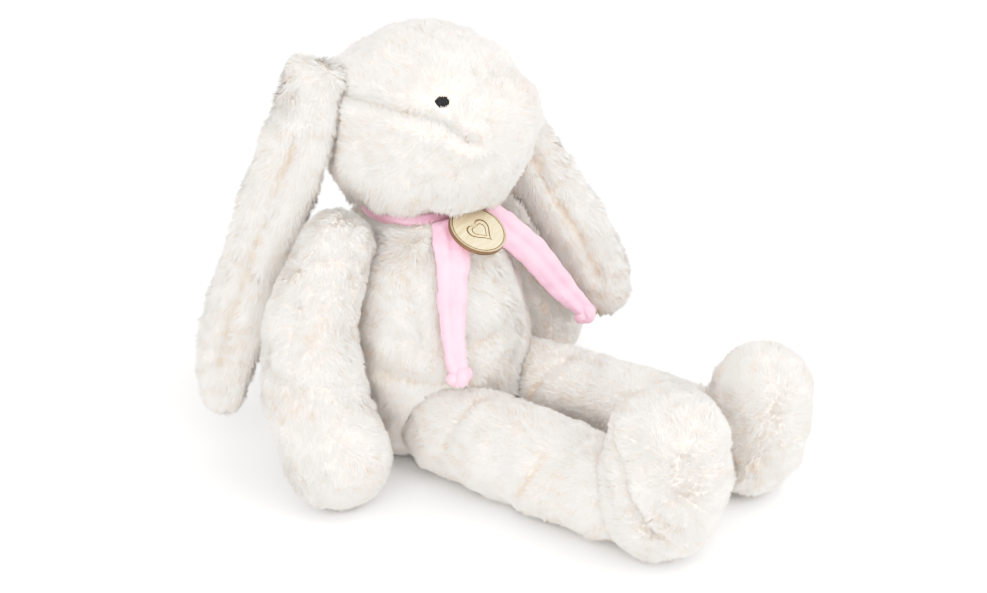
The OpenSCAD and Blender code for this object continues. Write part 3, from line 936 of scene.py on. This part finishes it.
def satin(name, place, angles, half_w, half_h, rise, step, node, material, seed):
    """Satin stitch on the head: two layers of parallel threads that fill an oval, padded in the middle."""
    rng = np.random.default_rng(seed)
    m = np.array(turned(angles))
    meshes = []
    for layer, slant in ((0, 0.16), (1, -0.1)):
        for x in np.arange(-half_w + step / 2, half_w, step):
            x += rng.uniform(-0.12, 0.12)
            h = half_h * math.sqrt(max(0.04, 1 - (x / half_w) ** 2)) * rng.uniform(0.72, 1.25)
            t = np.linspace(-1, 1, 9)
            pad = rise * (0.55 + 0.25 * layer) * math.sqrt(max(0.1, 1 - (x / half_w) ** 2))
            local = np.stack([x + slant * t * h * 0.5, -pad * (1 - t ** 4) + 0.9, t * h], -1)
            rows, a, b = tube(local @ m.T + np.array(place), 0.42 - 0.12 * t ** 4, 6)
            meshes.append(grid_mesh("stitch", rows, a, b))
    ob = joined(name, meshes, material)
    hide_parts(node)
    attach(ob, "head")


for s, side_name, eye in zip((-1, 1), ("right", "left"), both_sides(*EYE)):
    satin("eye_stitches_" + side_name, eye, (EYE_LEAN, 0, s * EYE_TURN), 4.1, 3.0, 2.3, 0.62,
          "eye_" + side_name, EYE_THREAD, 5 + s)
satin("nose_stitches", NOSE, (0, 0, 0), 4.6, 2.6, 2.2, 0.8, "nose_stitching", NOSE_THREAD, 9)


# ---- Scarf -----------------------------------------------------------------------------------

def fleece(name, me, body, node):
    """A piece of the scarf, in place of its CAD node."""
    ob = shown(name, me, [FLEECE])
    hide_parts(node)
    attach(ob, body)
    return ob


LOOP_CENTRE, LOOP_R = (0, 8, 157), 31
LOOP_TILT = 3  # degrees, higher at the nape
ROLL_R = 3.8


def scarf_loop():
    """Fleece strip rolled and twisted once round the neck."""
    steps, sides = 168, 40
    tilt = np.array(turned((LOOP_TILT, 0, 0)))
    g = np.arange(sides) * 2 * math.pi / sides
    rows = []
    for i in range(steps):
        a = 2 * math.pi * i / steps
        roll = ROLL_R + 0.35 * np.sin(3 * g + 2 * a) + 0.2 * math.sin(5 * a + 1) + 0.15 * np.sin(7 * g - 3 * a)
        out = LOOP_R + 1.15 * roll * np.cos(g)
        ring = np.stack([out * math.cos(a), out * math.sin(a), roll * 1.25 * np.sin(g)], -1)
        rows.append(ring @ tilt.T + np.array(LOOP_CENTRE))
    rows = np.array(rows)
    faces, uvs = [], []
    for i in range(steps):
        for k in range(sides):
            j, m = (i + 1) % steps, (k + 1) % sides
            faces.append((i * sides + k, j * sides + k, j * sides + m, i * sides + m))
            u0, u1, v0, v1 = i / steps, (i + 1) / steps, k / sides, (k + 1) / sides
            uvs += [(u0, v0), (u1, v0), (u1, v1), (u0, v1)]
    me = bpy.data.meshes.new("scarf_loop_cloth")
    me.from_pydata((rows.reshape(-1, 3) * MM).tolist(), [], faces)
    me.uv_layers.new(name="OFBake").data.foreach_set("uv", np.array(uvs, np.float32).ravel())
    me.shade_smooth()
    fleece("scarf_round_neck", me, "torso", "scarf_loop")


def strip(name, sections, side, body, node, seed):
    """Hanging end of the scarf: a soft strip whose edges curl and which folds down its middle."""
    form = Form(sections, side, (3, 3), 56, 16, 5)
    p = form.points()
    out = np.cross(form.middle[-1] - form.middle[0], side)
    out = out / np.linalg.norm(out) * 4
    line = form.middle[4:-8:5]
    fold = groove(p, line + out, 1.6, 2.3, 0.45) + groove(p, line - out, 1.6, 2.3, 0.45)
    form.push(-0.15 + fold + 0.25 * ripple(p, 14, seed) + 0.12 * ripple(p, 6, seed + 1))
    return fleece(name, grid_mesh(name, form.rows, form.first, form.last), body, node)


def knotted(name, centre, size, body, node, way, seed):
    """Overhand knot in rolled fleece."""
    t = np.linspace(0.35, 2 * math.pi + 0.1, 72)
    path = np.stack([np.sin(t) + 2 * np.sin(2 * t), np.cos(t) - 2 * np.cos(2 * t), -1.25 * np.sin(3 * t)], -1)
    m = np.array(Vector(way).to_track_quat("Z", "Y").to_matrix())
    thick = size * 0.47 * (1 + 0.06 * np.sin(5 * t + seed))
    path = path / 3.0 * (size - thick.mean()) * 1.02
    rows, a, b = tube(path @ m.T + np.array(centre, float), thick, 18)
    return fleece(name, grid_mesh(name, rows, a, b), body, node)


END_KNOT_SIZE = 8.4

scarf_loop()
tail_r = strip("scarf_end_right", TAIL_R, (0.8, -0.6, 0), "scarf_tail_right", "scarf_tail_right", 3)
tail_l = strip("scarf_end_left", TAIL_L, (0.9, -0.3, 0), "scarf_tail_left", "scarf_tail_left", 4)
knot_r = knotted("end_knot_right", END_KNOT_R, END_KNOT_SIZE, "scarf_tail_right", "scarf_end_knot_right",
                 (0.3, -0.5, -0.8), 1)
knot_l = knotted("end_knot_left", END_KNOT_L, END_KNOT_SIZE, "scarf_tail_left", "scarf_end_knot_left",
                 (0.5, -0.5, -0.7), 2)
knotted("scarf_knot_wrap", KNOT, 6.9, "torso", "scarf_knot", (0.2, -0.9, -0.3), 3)


# ---- CAD nodes that stay ---------------------------------------------------------------------

OWN_FINISH = {"wooden_tag": TAG_WOOD, "tag_thread": TAG_THREAD, "seat_pellet_bag": PELLET_CLOTH}

for node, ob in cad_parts.items():
    if not ob.hide_render:
        ob.data.materials.clear()
        ob.data.materials.append(OWN_FINISH.get(node, FIBRE_FILL))


# ---- Floor and light -------------------------------------------------------------------------

def white_floor():
    n = Nodes("paper")
    paper = n.ramp(n.noise(n.place(), 0.6), [(0, (0.95, 0.95, 0.95)), (1, (0.97, 0.97, 0.97))])
    n.finish(paper, 0.9, specular=0.0)
    reach = 8
    me = bpy.data.meshes.new("floor")
    me.from_pydata([(-reach, -reach, 0), (reach, -reach, 0), (reach, reach, 0), (-reach, reach, 0)], [],
                   [(0, 1, 2, 3)])
    shown("floor", me, [n.mat])


def white_surround():
    world = bpy.data.worlds.new("soft_box")
    bpy.context.scene.world = world
    world.use_nodes = True
    back = world.node_tree.nodes["Background"]
    back.inputs["Color"].default_value = (1.0, 0.992, 0.98, 1)
    back.inputs["Strength"].default_value = 1.25


def soft_light(name, aim, away, size, watts):
    """Round soft light at aim + away, turned to aim."""
    light = bpy.data.lights.new(name, "AREA")
    light.shape = "DISK"
    light.size = size
    light.energy = watts
    lamp = bpy.data.objects.new(name, light)
    bpy.context.scene.collection.objects.link(lamp)
    lamp.location = aim + away
    lamp.rotation_euler = away.to_track_quat("Z", "Y").to_euler()


def bright_response():
    """Enough bounces for light to fill white pile, and a response that rolls off before white."""
    scene = bpy.context.scene
    scene.cycles.diffuse_bounces = 16
    scene.cycles.max_bounces = 20
    response = scene.view_settings
    response.view_transform = "Standard"
    response.use_curve_mapping = True
    curves = response.curve_mapping
    curves.white_level = (1.3, 1.3, 1.3)
    for at, value in ((0.05, 0.065), (0.38, 0.51), (0.62, 0.765), (0.77, 0.865), (0.88, 0.925)):
        curves.curves[3].points.new(at, value)
    curves.update()


LIT = Vector((0, -0.08, 0.1))

white_floor()
white_surround()
soft_light("key", LIT, TO_THE_RIGHT * 1.3 + TO_CAMERA * 0.9 + Vector((0, 0, 1.6)), 2.2, 28)
soft_light("fill", LIT, TO_THE_RIGHT * -0.4 + TO_CAMERA * 1.98 + Vector((0, 0, 1.1)), 2.4, 33)
bright_response()
